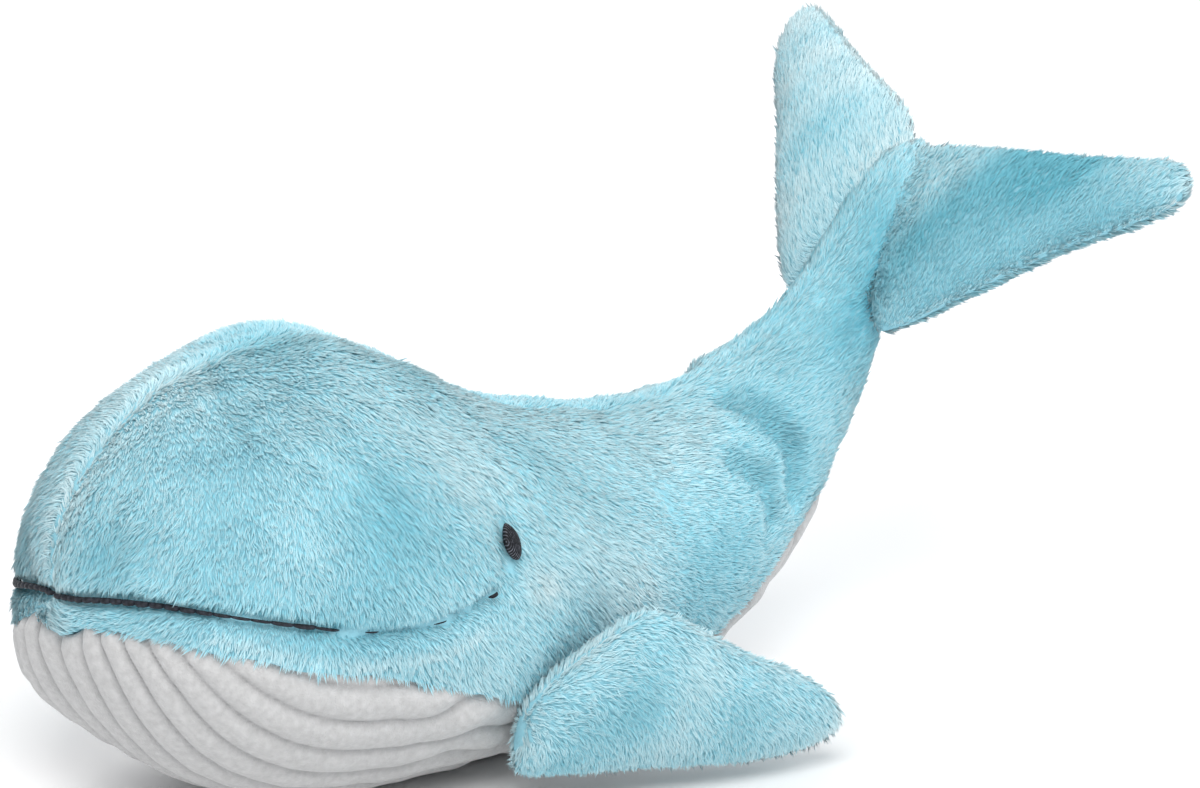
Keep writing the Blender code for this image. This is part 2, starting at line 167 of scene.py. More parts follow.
# Rings from the snout to the end of the stock: along, height, lean in degrees, half height, half width
body_rings = np.array([
    (0, 84, 0, 1, 1), (1, 84, 0, 14, 17), (5.5, 84, 0, 29, 34), (16, 82.5, 0, 45.5, 52),
    (34, 81, 0, 62, 66), (61, 80, 0, 74.5, 75), (94, 79.3, 0, 79.3, 78), (129, 72.2, 0, 72.2, 76),
    (161, 64.7, 2, 64.7, 71), (189, 59.3, 6, 59.3, 64), (211, 60.3, 12, 55.5, 57),
    (235, 65.6, 22, 48.6, 48.5), (261, 76.1, 32, 41.7, 39.5), (282, 91, 42, 34.5, 31),
    (301, 107, 52, 26, 24), (317, 126, 57, 19, 20), (329, 144, 57, 16.5, 18.5),
    (339, 159.5, 56, 14.5, 16.5), (348, 172, 54, 11, 13), (354, 180, 52, 5, 6), (355.5, 182, 52, 1, 1),
])
snout_x, rest_sink = 142 * mm, 0.5 * mm
belly_seam = ((1, 66), (1.8, 80), (2.8, 86), (4.3, 84), (5.5, 78), (6.5, 71), (7.1, 67), (8.2, 60),
              (10, 54), (12.2, 50), (13.2, 34), (14, 14))
mouth_line = ((0, 98), (1.4, 101), (2.8, 100), (3.8, 96), (4.7, 92), (5.5, 88), (6.2, 88), (6.5, 90),
              (6.9, 96))


def smooth_rows(rows, places):
    """Rows of a table read between its lines, on a smooth curve through them."""
    padded = np.vstack([2 * rows[0] - rows[1], rows, 2 * rows[-1] - rows[-2]])
    first = np.clip(np.floor(places).astype(int), 0, len(rows) - 2)
    part = (places - first)[..., None]
    a, b, c, d = (padded[first + k] for k in range(4))
    return 0.5 * (2 * b + (c - a) * part + (2 * a - 5 * b + 4 * c - d) * part**2 + (3 * b - a - 3 * c + d) * part**3)


def on_body(places, angles):
    """Points of the body's outer face: the ring's place and the angle up from the belly, towards the left."""
    along, height, lean, tall, wide = np.moveaxis(smooth_rows(body_rings, places), -1, 0)
    up, out = -np.cos(angles), np.sin(angles)
    power = 2 / np.where(up < 0, 2.15, 2.1)
    rise = np.sign(up) * np.abs(up) ** power * tall
    side = -np.sign(out) * np.abs(out) ** power * wide
    lean = np.radians(lean)
    x, z = along - np.sin(lean) * rise, height + np.cos(lean) * rise
    return np.stack([x * mm - snout_x, side * mm, z * mm - rest_sink], -1)


def unit(vectors):
    return vectors / np.maximum(np.linalg.norm(vectors, axis=-1, keepdims=True), 1e-12)


def read(pairs, places):
    return np.interp(places, *zip(*pairs))


class Panel:
    """A curved face of cloth as a grid of points, with its directions along, across and out."""

    def __init__(self, points, outwards=1):
        self.points = points
        self.along = unit(np.gradient(points, axis=0))
        self.across = unit(np.gradient(points, axis=1))
        self.out = unit(np.cross(self.along, self.across)) * outwards
        self.side = outwards

    def sunk(self, depth):
        depth = np.broadcast_to(depth, self.points.shape[:2])[..., None]
        return Panel(self.points - self.out * depth, self.side)

    def mirrored(self):
        return Panel(self.points * (1, -1, 1), -self.side)


def near_line(points, line, width):
    """1 on a line of points and 0 beyond its width, softly."""
    found = np.zeros(points.shape[:-1])
    for start, end in zip(line[:-1], line[1:]):
        step = end - start
        part = np.clip(((points - start) @ step) / (step @ step), 0, 1)
        gap = np.linalg.norm(points - start - part[..., None] * step, axis=-1)
        found = np.maximum(found, np.exp(-((gap / width) ** 2)))
    return found


def body_line(pairs, count):
    places, angles = np.array(pairs, float).T
    steps = np.linspace(0, len(places) - 1, count)
    knots = np.arange(len(places))
    return on_body(np.interp(steps, knots, places), np.radians(np.interp(steps, knots, angles)))


def ripple(points, size, seed):
    """A smooth random field of about this size, from -1 to 1."""
    rng = np.random.default_rng(seed)
    found = np.zeros(points.shape[:-1])
    for _ in range(7):
        way = rng.normal(size=3)
        way *= 2 * pi / size / np.linalg.norm(way) * rng.uniform(0.6, 1.4)
        found += np.sin(points @ way + rng.uniform(0, 2 * pi))
    return found / 3.2


row_places = np.linspace(0.0, 20.0, 640)
column_angles = np.linspace(0.0, pi, 240)
place_grid, angle_grid = np.meshgrid(row_places, column_angles, indexing="ij")
mouth_pairs = [(t, read(mouth_line, t)) for t in np.linspace(0, 6.9, 24)]
mouth_points = body_line(mouth_pairs, 60)
creases = (
    (mouth_points, 4.2 * mm, 2.9 * mm),
    (body_line(((12.8, 150), (13.0, 125), (12.9, 94), (12.5, 78)), 20), 6.3 * mm, 6.0 * mm),
    (body_line(((12.0, 121), (12.2, 99), (12.0, 80)), 14), 4.3 * mm, 5.0 * mm),
    (body_line(((7.14, 116), (7.14, 104)), 3), 2.2 * mm, 6.5 * mm),
    (body_line(((1.5, 180), (6, 180), (13, 180), (19, 180)), 80), 0.3 * mm, 2.5 * mm),
    (body_line(((4.9, 180), (4.7, 150)), 8), 1.2 * mm, 4.0 * mm),
)
whole_body = Panel(on_body(place_grid, angle_grid))
dents = sum(near_line(whole_body.points, line, width) * depth for line, depth, width in creases)
swells = ripple(whole_body.points, 55 * mm, 3) * 0.9 * mm + ripple(whole_body.points, 22 * mm, 5) * 0.35 * mm
swells *= np.clip((whole_body.points[..., 2] - 6 * mm) / (20 * mm), 0, 1)
left_face = whole_body.sunk(np.clip(pile_depth + dents - swells, 0, None))
seam_grid = np.where(place_grid < 1, 0.0, np.radians(read(belly_seam, place_grid)))
under_belly = left_face.sunk(4.5 * mm * np.clip((seam_grid - angle_grid) / 0.08, 0, 1))


def settle(made):
    """The far side of the head has sunk a little and rolled the snout with it."""
    count = len(made.data.vertices)
    points = np.empty(count * 3, np.float32)
    made.data.vertices.foreach_get("co", points)
    points = points.reshape(-1, 3)
    aside = np.clip(points[:, 1] / (50 * mm), 0, 1)
    aside = aside * aside * (3 - 2 * aside)
    ahead = np.clip((-points[:, 0] - 20 * mm) / (100 * mm), 0, 1)
    ahead = ahead * ahead * (3 - 2 * ahead)
    above = np.clip((points[:, 2] - 80 * mm) / (50 * mm), 0, 1)
    points[:, 2] -= 19 * mm * aside * ahead * np.clip(points[:, 2] / (60 * mm), 0, 1) * (1 - 0.65 * above)
    made.data.vertices.foreach_set("co", points.ravel())
    made.data.update()


def cloth_mesh(name, points, look, mirror=False, wrapped=False, keep=None):
    """A grid primitive laid on a panel's points, mirrored or closed where the real cloth is."""
    bpy.ops.object.select_all(action="DESELECT")
    rows, columns = points.shape[:2]
    bpy.ops.mesh.primitive_grid_add(x_subdivisions=columns - 1, y_subdivisions=rows - 1, size=1)
    made = bpy.context.object
    made.name = made.data.name = name
    made.data.vertices.foreach_set("co", points.astype(np.float32).ravel())
    if mirror:
        half = made.modifiers.new("other_half", "MIRROR")
        half.use_axis = (False, True, False)
        half.merge_threshold = 0.00005
        bpy.ops.object.modifier_apply(modifier=half.name)
    bpy.ops.object.mode_set(mode="EDIT")
    bpy.ops.mesh.select_all(action="SELECT")
    bpy.ops.mesh.remove_doubles(threshold=0.00002)
    bpy.ops.mesh.normals_make_consistent(inside=False)
    bpy.ops.object.mode_set(mode="OBJECT")
    bpy.ops.object.shade_smooth()
    made.data.materials.append(look.material)
    return made


backing = Look("fur_backing", Roughness=0.95, Specular_IOR_Level=0.15)
# The backing's deeper blue is painted shade for the depth between the strands.
backing_tone = backing.ramp(backing.noise(90.0, 3), ((0.3, (0.26, 0.56, 0.67)), (0.7, (0.32, 0.62, 0.72))))
backing.drive("Base Color", backing_tone)
backing.bump(backing.noise(900.0), 0.5, 0.0006)
skin_points = under_belly.points[::4, ::4].copy()
skin_points[[0, -1]] = skin_points[[0, -1]].mean(axis=1, keepdims=True)
skin_points[:, [0, -1], 1] = 0
body_skin = cloth_mesh("body_backing", skin_points, backing, mirror=True)
settle(body_skin)
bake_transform(body_skin)
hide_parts("head_stuffing", "torso_stuffing", "tail_stuffing")

# Pile. Blue fibre, cut long and brushed back from the snout and down from the back. It stands in
# small tufts and parts along the seams. Its colour is painted paler at the tips as painted highlight
# and deeper at the roots as painted shade.
strand_width, strand_length = 0.29 * mm, 4.3 * mm
tuft_spread = 0.80 * mm
strands_per_tuft = 4


def fur_look(name, root, middle, tip, deep, pale):
    """pile_tone is 0.5 for the plain colour, towards 1 deeper and towards 0 paler."""
    made = Look(name, Roughness=0.6, Specular_IOR_Level=0.3, Sheen_Weight=0.15, Sheen_Roughness=0.35)
    height, shade, tone = (made.attribute(n) for n in ("pile_height", "tuft_shade", "pile_tone"))
    tone = tone + (made.noise(24.0, 3) - 0.5) * 0.35
    # Along each strand: the deeper root colour is painted shade, the pale tip colour is painted highlight.
    colour = made.ramp(height, ((0.0, root), (0.45, middle), (1.0, tip)))
    colour = made.mix((tone - 0.5) * 2.0, colour, (*deep, 1))
    colour = made.mix((0.5 - tone) * 2.0, colour, (*pale, 1))
    light = made.ramp(shade, ((0.0, (0.66, 0.84, 0.88)), (0.5, (0.90, 0.96, 0.97)), (1.0, (1.0, 1.0, 1.0))))
    made.drive("Base Color", made.mix(1.0, colour, light, "MULTIPLY"))
    return made


# Root, middle and tip colours: the deeper root is painted shade and the pale tip is painted highlight.
blue_pile = fur_look("blue_fur", (0.30, 0.66, 0.78), (0.39, 0.76, 0.87), (0.76, 0.92, 0.96),
                     (0.18, 0.56, 0.68), (0.78, 0.92, 0.95))


def bilinear(field, rows, columns):
    i, j = rows.astype(int), columns.astype(int)
    u, v = rows - i, columns - j
    if field.ndim == 3:
        u, v = u[:, None], v[:, None]
    return (field[i, j] * (1 - u) * (1 - v) + field[i + 1, j] * u * (1 - v)
            + field[i, j + 1] * (1 - u) * v + field[i + 1, j + 1] * u * v)


def pile(name, panel, nap, density, seed, length=1.0, lift=32.0, tone=0.0, cover=1.0, look=blue_pile,
         width=strand_width, base=strand_length):
    """Tufts of closed, pointed strands on a panel. nap is the angle from along towards across."""
    rng = np.random.default_rng(seed)
    shape = panel.points.shape[:2]
    nap, length, lift, tone, cover = (np.broadcast_to(f, shape) for f in (nap, length, lift, tone, cover))
    corners = panel.points
    area = np.linalg.norm(np.cross(corners[1:, :-1] - corners[:-1, :-1], corners[:-1, 1:] - corners[:-1, :-1]), axis=-1)
    want = (area * (cover[:-1, :-1] + cover[1:, 1:]) / 2).ravel()
    tufts = int(want.sum() * density * 1e6 / strands_per_tuft)
    ladder = np.cumsum(want) / want.sum()
    cell = np.searchsorted(ladder, (np.arange(tufts) + rng.random(tufts)) / tufts)
    cell = np.minimum(cell, len(want) - 1)
    rows = cell // (shape[1] - 1) + rng.random(tufts) * 0.999
    columns = cell % (shape[1] - 1) + rng.random(tufts) * 0.999
    centre, out, along, across = (bilinear(f, rows, columns) for f in (corners, panel.out, panel.along, panel.across))
    turn, reach, rise, shown = (bilinear(f, rows, columns) for f in (nap, length, lift, tone))
    turn = turn + 11 * ripple(centre, 22 * mm, 61) + 10 * ripple(centre, 8 * mm, 62) + rng.normal(0, 10, tufts)
    turn, rise = np.radians(turn), np.radians(rise + 6 * ripple(centre, 9 * mm, 63) + rng.normal(0, 5, tufts))
    way = unit(along * np.cos(turn)[:, None] + across * np.sin(turn)[:, None])
    reach = reach * base * (1 + 0.10 * rng.normal(size=tufts))
    shade = rng.random(tufts)

    def spread(values):
        return np.repeat(values, strands_per_tuft, axis=0)

    count = tufts * strands_per_tuft
    centre, out, way, reach, rise, shown, shade = (spread(f) for f in (centre, out, way, reach, rise, shown, shade))
    sideways = unit(np.cross(out, way))
    around, far = rng.uniform(0, 2 * pi, count), np.sqrt(rng.random(count)) * tuft_spread
    offset = way * (np.cos(around) * far)[:, None] + sideways * (np.sin(around) * far)[:, None]
    reach = reach * rng.uniform(0.72, 1.12, count)
    low, high = rise + radians(7), rise - radians(8)
    first = way * np.cos(low)[:, None] + out * np.sin(low)[:, None]
    second = way * np.cos(high)[:, None] + out * np.sin(high)[:, None] - offset * 0.22 / np.maximum(reach, 1e-6)[:, None]
    root = centre + offset - out * 0.4 * mm
    middle = root + first * (reach * 0.45)[:, None] - offset * 0.08
    tip = middle + unit(second) * (reach * 0.55)[:, None]
    half = sideways * (width / 2 * rng.uniform(0.8, 1.2, count))[:, None]
    raised = middle + out * 0.04 * mm
    points = np.stack([root, raised - half, raised + half, tip], axis=1)
    turned = unit(np.cross(sideways, first))
    turned *= np.sign((turned * out).sum(axis=1))[:, None]
    facing = out * 0.82 + turned * 0.18 + unit(rng.normal(size=(count, 3))) * 0.20
    normals = np.stack([facing, facing - half / width, facing + half / width, facing + way * 0.25], axis=1)
    net = np.array(((0, 1, 2), (1, 3, 2), (2, 3, 0), (3, 1, 0)))
    faces = (np.arange(count)[:, None, None] * 4 + net).reshape(-1, 3)
    mesh = bpy.data.meshes.new(name)
    mesh.vertices.add(count * 4)
    mesh.vertices.foreach_set("co", points.astype(np.float32).ravel())
    mesh.loops.add(count * 12)
    mesh.loops.foreach_set("vertex_index", faces.astype(np.int32).ravel())
    mesh.polygons.add(count * 4)
    mesh.polygons.foreach_set("loop_start", np.arange(0, count * 12, 3, dtype=np.int32))
    mesh.update(calc_edges=True)
    for label, values in (
        ("pile_height", np.tile((0.0, 0.42, 0.42, 1.0), (count, 1))),
        ("tuft_shade", np.repeat(np.clip(shade * 0.7 + rng.random(count) * 0.3, 0, 1)[:, None], 4, 1)),
        ("pile_tone", np.repeat(shown[:, None], 4, 1)),
    ):
        mesh.attributes.new(label, "FLOAT", "POINT").data.foreach_set("value", values.astype(np.float32).ravel())
    # Each strand has a small cell of the map to itself, with its four faces in a zigzag strip
    across_count = int(np.ceil(np.sqrt(count)))
    zigzag = np.array(((0.03, 0.05), (0.21, 0.95), (0.40, 0.05), (0.59, 0.95), (0.78, 0.05), (0.97, 0.95)))
    strip = zigzag[np.array(((0, 1, 2), (1, 3, 2), (2, 3, 4), (3, 5, 4)))]
    index = np.arange(count)
    cells = np.stack([index % across_count, index // across_count], -1)[:, None, None, :]
    mesh.uv_layers.new(name="OFBake").data.foreach_set("uv", ((cells + strip) / across_count).astype(np.float32).ravel())
    mesh.shade_smooth()
    mesh.normals_split_custom_set_from_vertices(unit(normals).reshape(-1, 3))
    made = bpy.data.objects.new(name, mesh)
    bpy.context.scene.collection.objects.link(made)
    mesh.materials.append(look.material)
    return made


nap_turn = ((0, 150), (1.5, 142), (3, 130), (4.4, 104), (5.4, 82), (6.6, 64), (8.5, 52), (10.5, 42), (12.5, 26), (15, 12), (20, 8))
body_nap = -read(nap_turn, place_grid) * np.clip((pi - angle_grid) / radians(4), 0, 1) ** 0.5
on_side = np.clip((angle_grid - seam_grid) / 0.03, 0, 1)
from_mouth = near_line(whole_body.points, mouth_points, 2.0 * mm)
mouth_length = 1 - 0.30 * near_line(whole_body.points, mouth_points, 5 * mm)
at_eye = near_line(whole_body.points, body_line(((7.14, 117), (7.14, 103)), 3), 6.0 * mm)
body_length_field = mouth_length * (1 - 0.15 * at_eye)
in_creases = np.clip(dents / (4 * mm), 0, 1)


def patch(ring, angle, length, width):
    """A soft patch of the body: its ring and angle, and its reach in rings and degrees."""
    return np.exp(-(((place_grid - ring) / length) ** 2) - (((np.degrees(angle_grid) - angle) / width) ** 2))


under_mouth = body_line([(t, read(mouth_line, t) - 6.5) for t in np.linspace(3.6, 6.7, 14)], 30)
# The deeper tone in the stitched creases is painted shade.
body_tone = 0.50 + 0.22 * in_creases - 0.28 * near_line(whole_body.points, under_mouth, 2.6 * mm)
body_tone = body_tone + 0.11 * ripple(whole_body.points, 60 * mm, 11)
for ring, angle, length, width, amount in (
    (5.4, 106, 1.6, 26, 0.10), (2.2, 135, 0.8, 18, 0.20), (4.2, 122, 0.6, 26, 0.12), (8.7, 95, 0.9, 30, -0.34),
    (10.8, 85, 1.2, 30, 0.10), (15.3, 95, 1.8, 60, 0.48), (7.55, 99, 0.35, 6, -0.40), (4.8, 78, 1.5, 6, -0.20),
    (12.0, 150, 1.6, 22, -0.10), (2.5, 180, 2.2, 9, -0.30),
):
    body_tone = body_tone + amount * patch(ring, angle, length, width)
head_share = np.clip((9.0 - place_grid) / 2.5, 0, 1)
body_lift = 18 + 9 * head_share + 5 * ripple(whole_body.points, 40 * mm, 12) + 14 * in_creases
mouth_gap = np.where(place_grid < 3.4, 0.68, 0.93)
at_mouth = np.where(place_grid < 3.4, 0.10, 0.45)
body_cover = on_side * np.where(from_mouth > mouth_gap, at_mouth, 1.0) * np.where(at_eye > 0.84, 0.0, 1.0)
body_bands = (("head_front", 0.0, 4.9), ("head_back", 4.9, 7.3), ("flank", 7.3, 10.2), ("tail", 10.2, 20.0))
fur_density = 3.1
band_seed = 100
for band, first_ring, last_ring in body_bands:
    start, end = np.searchsorted(row_places, (first_ring, last_ring))
    rows = slice(max(start - 1, 0), end + 1)
    for side in ("left", "right"):
        band_seed += 10
        face = Panel(left_face.points[rows], left_face.side)
        face = face if side == "left" else face.mirrored()
        fur = pile(f"{side}_{band}_fur", face, body_nap[rows], fur_density, band_seed,
                   body_length_field[rows], body_lift[rows], body_tone[rows], body_cover[rows])
        settle(fur)
        if band == "tail":
            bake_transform(fur)
            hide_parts(f"{side}_tail_panel")
        elif band == "flank":
            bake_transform(fur)
            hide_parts(f"{side}_belly_seam")
        else:
            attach(fur, "body")
        if band == "head_front":
            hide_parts(f"{side}_side_panel")
        if side == "left" and band == "head_back":
            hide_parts("back_seam", "closing_stitch")
        if side == "left" and band == "tail":
            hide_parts("tail_seam")

# Belly. A panel of white cloth with a short dense pile, stitched in lengthwise channels about 9 mm
# apart, from under the lip to under the tail. Each channel stands up between two stitched grooves.
rib_pitch, rib_rise = 14.5 * mm, 2.6 * mm
belly_rows, belly_columns = 280, 201
belly_places = np.interp(np.linspace(0, 1, belly_rows), (0, 0.12, 1), (1.0, 1.9, 14.0))
across_share = np.linspace(-1, 1, belly_columns)
belly_edge = np.radians(read(belly_seam, belly_places))[:, None]
belly_angles = belly_edge * across_share
outer_belly = Panel(on_body(np.broadcast_to(belly_places[:, None], belly_angles.shape), belly_angles))
steps = np.linalg.norm(np.diff(outer_belly.points, axis=1), axis=-1)
arc = np.concatenate([np.zeros((belly_rows, 1)), np.cumsum(steps, axis=1)], axis=1)
arc -= arc[:, belly_columns // 2][:, None]
crumple = np.clip((belly_places[:, None] - 5.6) / 1.6, 0, 1) * np.clip((arc**2) ** 0.5 / (45 * mm), 0, 1)
wander = ripple(outer_belly.points, 70 * mm, 21) * 1.2 * mm + crumple * ripple(outer_belly.points, 26 * mm, 22) * 3.4 * mm
phase = (arc + wander) / rib_pitch
ribs = np.abs(np.sin(pi * phase)) ** 0.7
edge_pull = np.clip((1 - np.abs(across_share)) * np.abs(arc[:, -1])[:, None] / (5 * mm), 0, 1) ** 0.5
end_pull = np.clip((belly_places[:, None] - 1.0) / 0.35, 0, 1) ** 0.5
soft = ripple(outer_belly.points, 13 * mm, 23) * 0.16 * mm + crumple * ripple(outer_belly.points, 18 * mm, 24) * 1.1 * mm
belly_sink = (1 - ribs) * rib_rise + soft + (1 - edge_pull * end_pull) * 3.4 * mm + 0.5 * mm
belly_points = outer_belly.points - outer_belly.out * belly_sink[..., None]
belly_points[..., 2] = np.maximum(belly_points[..., 2], 0.0)
minky = Look("white_minky", Roughness=0.9, Specular_IOR_Level=0.2, Sheen_Weight=0.35, Sheen_Roughness=0.5)
minky_tone = minky.ramp(minky.noise(420.0, 3), ((0.3, (0.45, 0.45, 0.453)), (0.7, (0.55, 0.55, 0.554))))
# The grooves between the ribs are painted darker: painted shade in the valleys.
groove = minky.attribute("groove")
minky.drive("Base Color", minky.mix(groove * 0.6, minky_tone, (0.26, 0.26, 0.265, 1)))
minky.bump(minky.noise(1500.0, 3), 0.55, 0.0008)
belly = cloth_mesh("ribbed_belly", belly_points, minky)
settle(belly)
belly.data.attributes.new("groove", "FLOAT", "POINT")
belly.data.attributes["groove"].data.foreach_set("value", np.clip(1 - ribs * 1.6, 0, 1).astype(np.float32).ravel()[: len(belly.data.vertices)])
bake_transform(belly)
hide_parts("belly_panel", "tail_belly_panel")

# Mouth. Black thread in long backstitches, laid in the pinched crease from the snout to the cheek.
# The pile above falls over it, so that it shows less and less towards the corner.
thread = Look("black_thread", Roughness=0.5, Specular_IOR_Level=0.22)
thread.drive("Base Color", thread.ramp(thread.noise(700.0, 2), ((0.35, (0.008, 0.009, 0.013)), (0.7, (0.030, 0.033, 0.045)))))
thread.bump(thread.noise(1600.0, 1), 0.6, 0.0004)


def stitch(name, start, end, out, width, look):
    """One laid stitch: a rod that sinks at both ends."""
    bpy.ops.object.select_all(action="DESELECT")
    length = float(np.linalg.norm(end - start))
    bpy.ops.mesh.primitive_cylinder_add(vertices=10, radius=width / 2, depth=length, end_fill_type="TRIFAN")
    made = bpy.context.object
    bpy.ops.object.mode_set(mode="EDIT")
    bpy.ops.mesh.select_all(action="SELECT")
    bpy.ops.mesh.subdivide(number_cuts=5)
    bpy.ops.object.mode_set(mode="OBJECT")
    count = len(made.data.vertices)
    local = np.empty(count * 3, np.float32)
    made.data.vertices.foreach_get("co", local)
    local = local.reshape(-1, 3).astype(float)
    share = local[:, 2] / length + 0.5
    narrow = np.clip(1 - np.abs(2 * share - 1) ** 4 * 0.6, 0.3, 1)[:, None]
    way = unit(end - start)
    sideways = unit(np.cross(out, way))
    droop = (np.abs(2 * share - 1) ** 3 * 0.8 * width)[:, None]
    points = (start + end) / 2 + way * local[:, 2:3] + sideways * local[:, 0:1] * narrow + out * (local[:, 1:2] * narrow - droop)
    made.data.vertices.foreach_set("co", points.astype(np.float32).ravel())
    bpy.ops.object.shade_smooth()
    made.name = name
    return made


mouth_steps = np.linspace(0.0, 6.9, 28)
mouth_panel_out = []
stitches = []
eps = 0.03


def body_out(place, angle):
    step_along = on_body(np.array(place + eps), np.array(angle)) - on_body(np.array(max(place - eps, 0)), np.array(angle))
    step_around = on_body(np.array(place), np.array(angle + eps)) - on_body(np.array(place), np.array(angle - eps))
    return unit(np.cross(step_along, step_around))


mouth_widths = ((0, 2.0), (2.6, 2.1), (3.3, 1.7), (3.8, 1.1), (4.3, 0.9), (4.5, 1.8), (4.8, 1.8), (5.1, 0.6), (6.55, 0.5), (6.7, 1.2), (6.9, 1.7))
mouth_depths = ((0, 2.0), (2.5, 2.2), (3.5, 2.7), (4.2, 2.7), (4.6, 1.9), (4.9, 2.6), (5.3, 3.2), (6.5, 3.2), (6.7, 1.6), (6.9, 1.2))
knots = []
for place in mouth_steps:
    angle = radians(float(read(mouth_line, place)))
    out = body_out(place, angle) if place > 0.1 else np.array([-1.0, 0, 0])
    knots.append((on_body(np.array(place), np.array(angle)) - out * float(read(mouth_depths, place)) * mm, out, float(read(mouth_widths, place)) * mm))
for mirror in (1, -1):
    for step, ((start, out, width), (end, later_out, later_width)) in enumerate(zip(knots[:-1], knots[1:])):
        if 20 <= step < 26 and step % 3:
            continue
        if step == 26:
            start = start + (end - start) * 0.68
        flip = np.array([1, mirror, 1])
        lap = (end - start) * (0.08 if width > 0.75 * mm else -0.22)
        stitches.append(stitch("stitch", (start - lap) * flip, (end + lap) * flip, unit(out + later_out) * flip, (width + later_width) / 2, thread))
bpy.ops.object.select_all(action="DESELECT")
for made in stitches:
    made.select_set(True)
bpy.context.view_layer.objects.active = stitches[0]
bpy.ops.object.join()
mouth = bpy.context.object
bpy.ops.object.transform_apply(location=True, rotation=True, scale=True)
mouth.name = mouth.data.name = "mouth_stitches"
settle(mouth)
mouth.data.materials.append(thread.material)
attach(mouth, "body")
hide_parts("mouth_thread")

# Eyes. An oval of black satin stitch on each cheek, drawn into a shallow dimple. The threads run
# side by side in gentle curves and the pile frays over the upper front edge.
satin = Look("black_satin_stitch", Roughness=0.45, Specular_IOR_Level=0.2)
# The grey on the crests of the threads is painted sheen on the black satin.
lay = satin.attribute("thread_lay") + (satin.noise(900.0, 2) - 0.5) * 0.8
satin.drive("Base Color", satin.ramp(lay, ((0.25, (0.004, 0.005, 0.007)), (0.75, (0.016, 0.018, 0.024)), (1.0, (0.14, 0.15, 0.18)))))
satin.bump(satin.noise(1800.0, 1), 0.5, 0.0004)
for side, flip in (("left", 1), ("right", -1)):
    bpy.ops.object.select_all(action="DESELECT")
    bpy.ops.mesh.primitive_uv_sphere_add(segments=72, ring_count=96, radius=1)
    eye = bpy.context.object
    count = len(eye.data.vertices)
    local = np.empty(count * 3, np.float32)
    eye.data.vertices.foreach_get("co", local)
    local = local.reshape(-1, 3).astype(float)
    angle = radians(110)
    centre, out = on_body(np.array(7.17), np.array(angle)), body_out(7.17, angle)
    up = np.array([-0.12, 0, 1.0])
    up = unit(up - out * (up @ out))
    along = np.cross(up, out)
    pointed = 1 - 0.42 * np.clip(local[:, 2], 0, 1) ** 2
    frayed = np.clip(-local[:, 0], 0, 1) * np.clip(local[:, 2] + 0.4, 0, 1)
    pointed -= 0.16 * frayed * np.abs(np.sin(19 * local[:, 2]))
    swirl = 5.5 * np.hypot(local[:, 0] + 0.9, 1.15 * (local[:, 2] - 0.15)) + 0.25 * np.sin(5 * local[:, 2])
    threads = 0.5 + 0.5 * np.sin(2 * pi * swirl)
    dome = local[:, 1] * 1.9 * mm * (0.82 + 0.18 * threads)
    points = (centre - out * 1.7 * mm + up * (local[:, 2:3] * 6.4 * mm) + along * (local[:, 0:1] * 3.5 * mm * pointed[:, None])
              + out * dome[:, None])
    eye.data.vertices.foreach_set("co", (points * (1, flip, 1)).astype(np.float32).ravel())
    bpy.ops.object.mode_set(mode="EDIT")
    bpy.ops.mesh.select_all(action="SELECT")
    bpy.ops.mesh.normals_make_consistent(inside=False)
    bpy.ops.object.mode_set(mode="OBJECT")
    bpy.ops.object.shade_smooth()
    eye.name = eye.data.name = f"{side}_eye_stitches"
    eye.data.attributes.new("thread_lay", "FLOAT", "POINT").data.foreach_set("value", threads.astype(np.float32))
    eye.data.materials.append(satin.material)
    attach(eye, "body")
    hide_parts(f"{side}_eye")


# Flukes. Two panels of fur sewn round the edge, turned and stuffed, then sewn to the stock on both
# faces. Each swells in the middle, thins to its edge seam and has a blunt round tip.
def leaf(root, reach_way, hinge_way, rows, droop=0.0, sweep_back=0.0, rows_count=160, turns=121):
    """The outer face of a stuffed leaf as a panel. rows are: along, front, back, thickness, in mm."""
    hinge_way = unit(np.array(hinge_way, float))
    reach_way = np.array(reach_way, float)
    reach_way = unit(reach_way - hinge_way * (reach_way @ hinge_way))
    face_way = np.cross(reach_way, hinge_way)
    table = np.array(rows, float) * mm
    read_rows = smooth_rows(table, np.linspace(0, len(table) - 1, rows_count))
    along, front, back, thick = (read_rows[:, k][:, None] for k in range(4))
    turn = np.linspace(0, 2 * pi, turns)[None, :]
    chord = (front + back) / 2 + (back - front) / 2 * np.cos(turn)
    crown = np.sign(np.sin(turn)) * np.abs(np.sin(turn)) ** 1.0 * thick / 2
    far = np.clip(along / along.max(), 0, 1)
    bow = droop * far**2
    points = (np.array(root) + reach_way * (along + 0 * turn)[..., None] + hinge_way * (chord + sweep_back * far**2)[..., None]
              + face_way * (crown - bow)[..., None])
    return Panel(points, -1)


near_fluke_rows = ((-22, 6, 30, 5), (-14, -16, 36, 10), (-4, -33, 38, 15), (8, -31, 39, 21.5), (22, -21.5, 40, 26), (40, -9, 40.8, 26.4),
                   (63, 6, 42, 23.2), (84, 16.2, 44, 20), (97, 23.5, 44.5, 15.5), (103, 28.5, 41.5, 10), (105.5, 34, 37, 1))
far_fluke_rows = ((-22, 6, 34, 5), (-14, -16, 41, 10), (-4, -31, 45, 15), (8, -28, 47.5, 21.5), (22, -18.5, 49, 26), (40, -6.5, 50, 26.4),
                  (63, 8.6, 51.5, 23.2), (84, 18.7, 52.5, 20), (97, 26, 51.5, 15.5), (103, 32, 48, 10), (105.5, 38, 43, 1))
fluke_root, fluke_hinge, fluke_reach = (0.1926, -0.0225, 0.1523), (0.5432, 0.1663, 0.823), (0.2084, -0.9762, 0.0596)
fluke_faces = {
    "left": leaf(fluke_root, fluke_reach, fluke_hinge, near_fluke_rows),
    "right": leaf(fluke_root, fluke_reach, fluke_hinge, far_fluke_rows, droop=5 * mm, sweep_back=8 * mm).mirrored(),
}
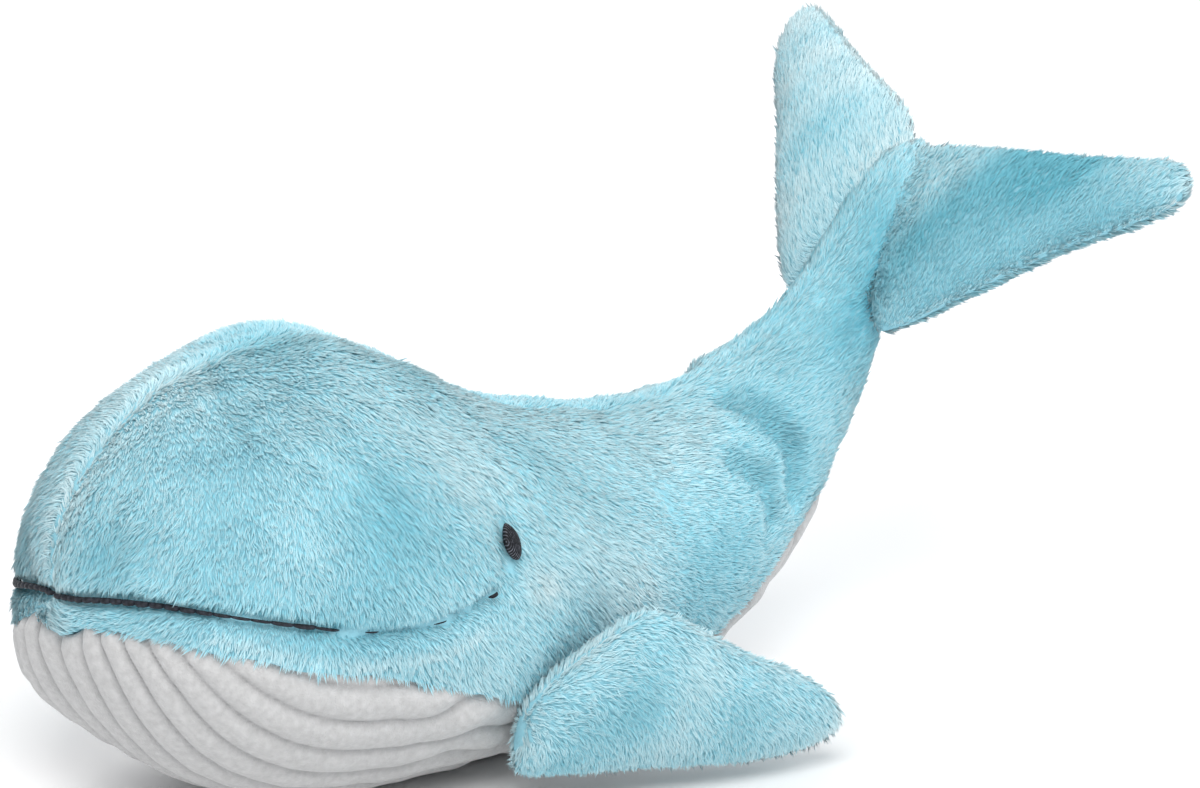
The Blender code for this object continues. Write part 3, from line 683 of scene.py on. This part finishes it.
for side in ("left", "right"):
    outer = fluke_faces[side]
    face = outer.sunk(1.9 * mm + 0 * outer.points[..., 0])
    points = face.points.copy()
    points[:, -1] = points[:, 0]
    points[[0, -1]] = points[[0, -1]].mean(axis=1, keepdims=True)
    skin = cloth_mesh(f"{side}_fluke_backing", points[::2, ::2], backing)
    turn = np.linspace(0, 2 * pi, face.points.shape[1])[None, :]
    upper = np.sin(turn)
    # across runs round the leaf, so the way towards the trailing edge changes sign between its faces
    nap = np.where(upper >= 0, -42.0, 42.0) * np.ones((face.points.shape[0], 1))
    # The paler tone along the edge seam is painted rim light.
    edge = np.exp(-((np.sin(turn) / 0.22) ** 2)) * np.ones_like(nap)
    to_tip = np.linspace(0, 1, face.points.shape[0])[:, None]
    tone = 0.17 * ripple(face.points, 36 * mm, 31) - 0.30 * edge
    if side == "left":
        tone += 0.60 + 0.28 * np.exp(-(((to_tip - 0.50) / 0.17) ** 2)) - 0.28 * np.clip((to_tip - 0.8) / 0.15, 0, 1)
    else:
        tone += 0.30
    fur = pile(f"{side}_fluke_fur", Panel(face.points[2:-2], face.side), nap[2:-2], 3.0, 300 if side == "left" else 340, 0.95, 25.0, tone[2:-2])
    flip = 1 if side == "left" else -1
    for made in (skin, fur):
        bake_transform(made)
    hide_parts(f"{side}_fluke_upper", f"{side}_fluke_under")
    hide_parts(f"{side}_fluke_stuffing")

# Flippers. Sewn and stuffed like the flukes, set low on each side with the tip trailing on the
# floor. The root is gathered, and a soft fold runs down behind the front edge.
flipper_root, flipper_hinge, flipper_reach = (-0.0013, -0.0679, 0.0194), (0.0501, -0.3008, 0.9524), (0.96, -0.22, -0.06)
flipper_rows = ((-6.5, 3, 14, 5), (-5, -4, 20, 13), (-1.5, -7, 27, 18.5), (4, -8, 34, 22), (11, -8, 41.5, 23), (19, -7.5, 49, 24), (29, -7, 56.5, 25),
                (41, -6.5, 55.4, 24.5), (56, -6, 48, 23.3), (75, -5, 38.6, 21), (90, -3, 33, 17.8), (104, 1, 25, 12), (111, 6, 18, 7), (113, 9, 13, 1))
flipper_face = leaf(flipper_root, flipper_reach, flipper_hinge, flipper_rows)
for side in ("left", "right"):
    outer = flipper_face if side == "left" else flipper_face.mirrored()
    face = outer.sunk(1.9 * mm + 0 * outer.points[..., 0])
    points = face.points.copy()
    points[:, -1] = points[:, 0]
    points[[0, -1]] = points[[0, -1]].mean(axis=1, keepdims=True)
    skin = cloth_mesh(f"{side}_flipper_backing", points[::2, ::2], backing)
    turn = np.linspace(0, 2 * pi, face.points.shape[1])[None, :]
    steep = 28 + 42 * np.clip(0.5 - 0.9 * np.cos(turn), 0, 1)
    nap = np.where(np.sin(turn) >= 0, steep, -steep) * np.ones((face.points.shape[0], 1))
    to_tip = np.linspace(0, 1, face.points.shape[0])[:, None]
    # The paler tone along the edge seam is painted rim light.
    tone = 0.44 + 0.16 * ripple(face.points, 40 * mm, 41) - 0.22 * np.exp(-((np.sin(turn) / 0.2) ** 2)) - 0.3 * np.clip((to_tip - 0.72) / 0.2, 0, 1)
    fur = pile(f"{side}_flipper_fur", Panel(face.points[2:-2], face.side), nap[2:-2], 3.0, 400 if side == "left" else 440, 0.95, 25.0, tone[2:-2])
    flip = 1 if side == "left" else -1
    for made in (skin, fur):
        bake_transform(made)
    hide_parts(f"{side}_flipper_upper", f"{side}_flipper_under")
    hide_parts(f"{side}_flipper_stuffing")
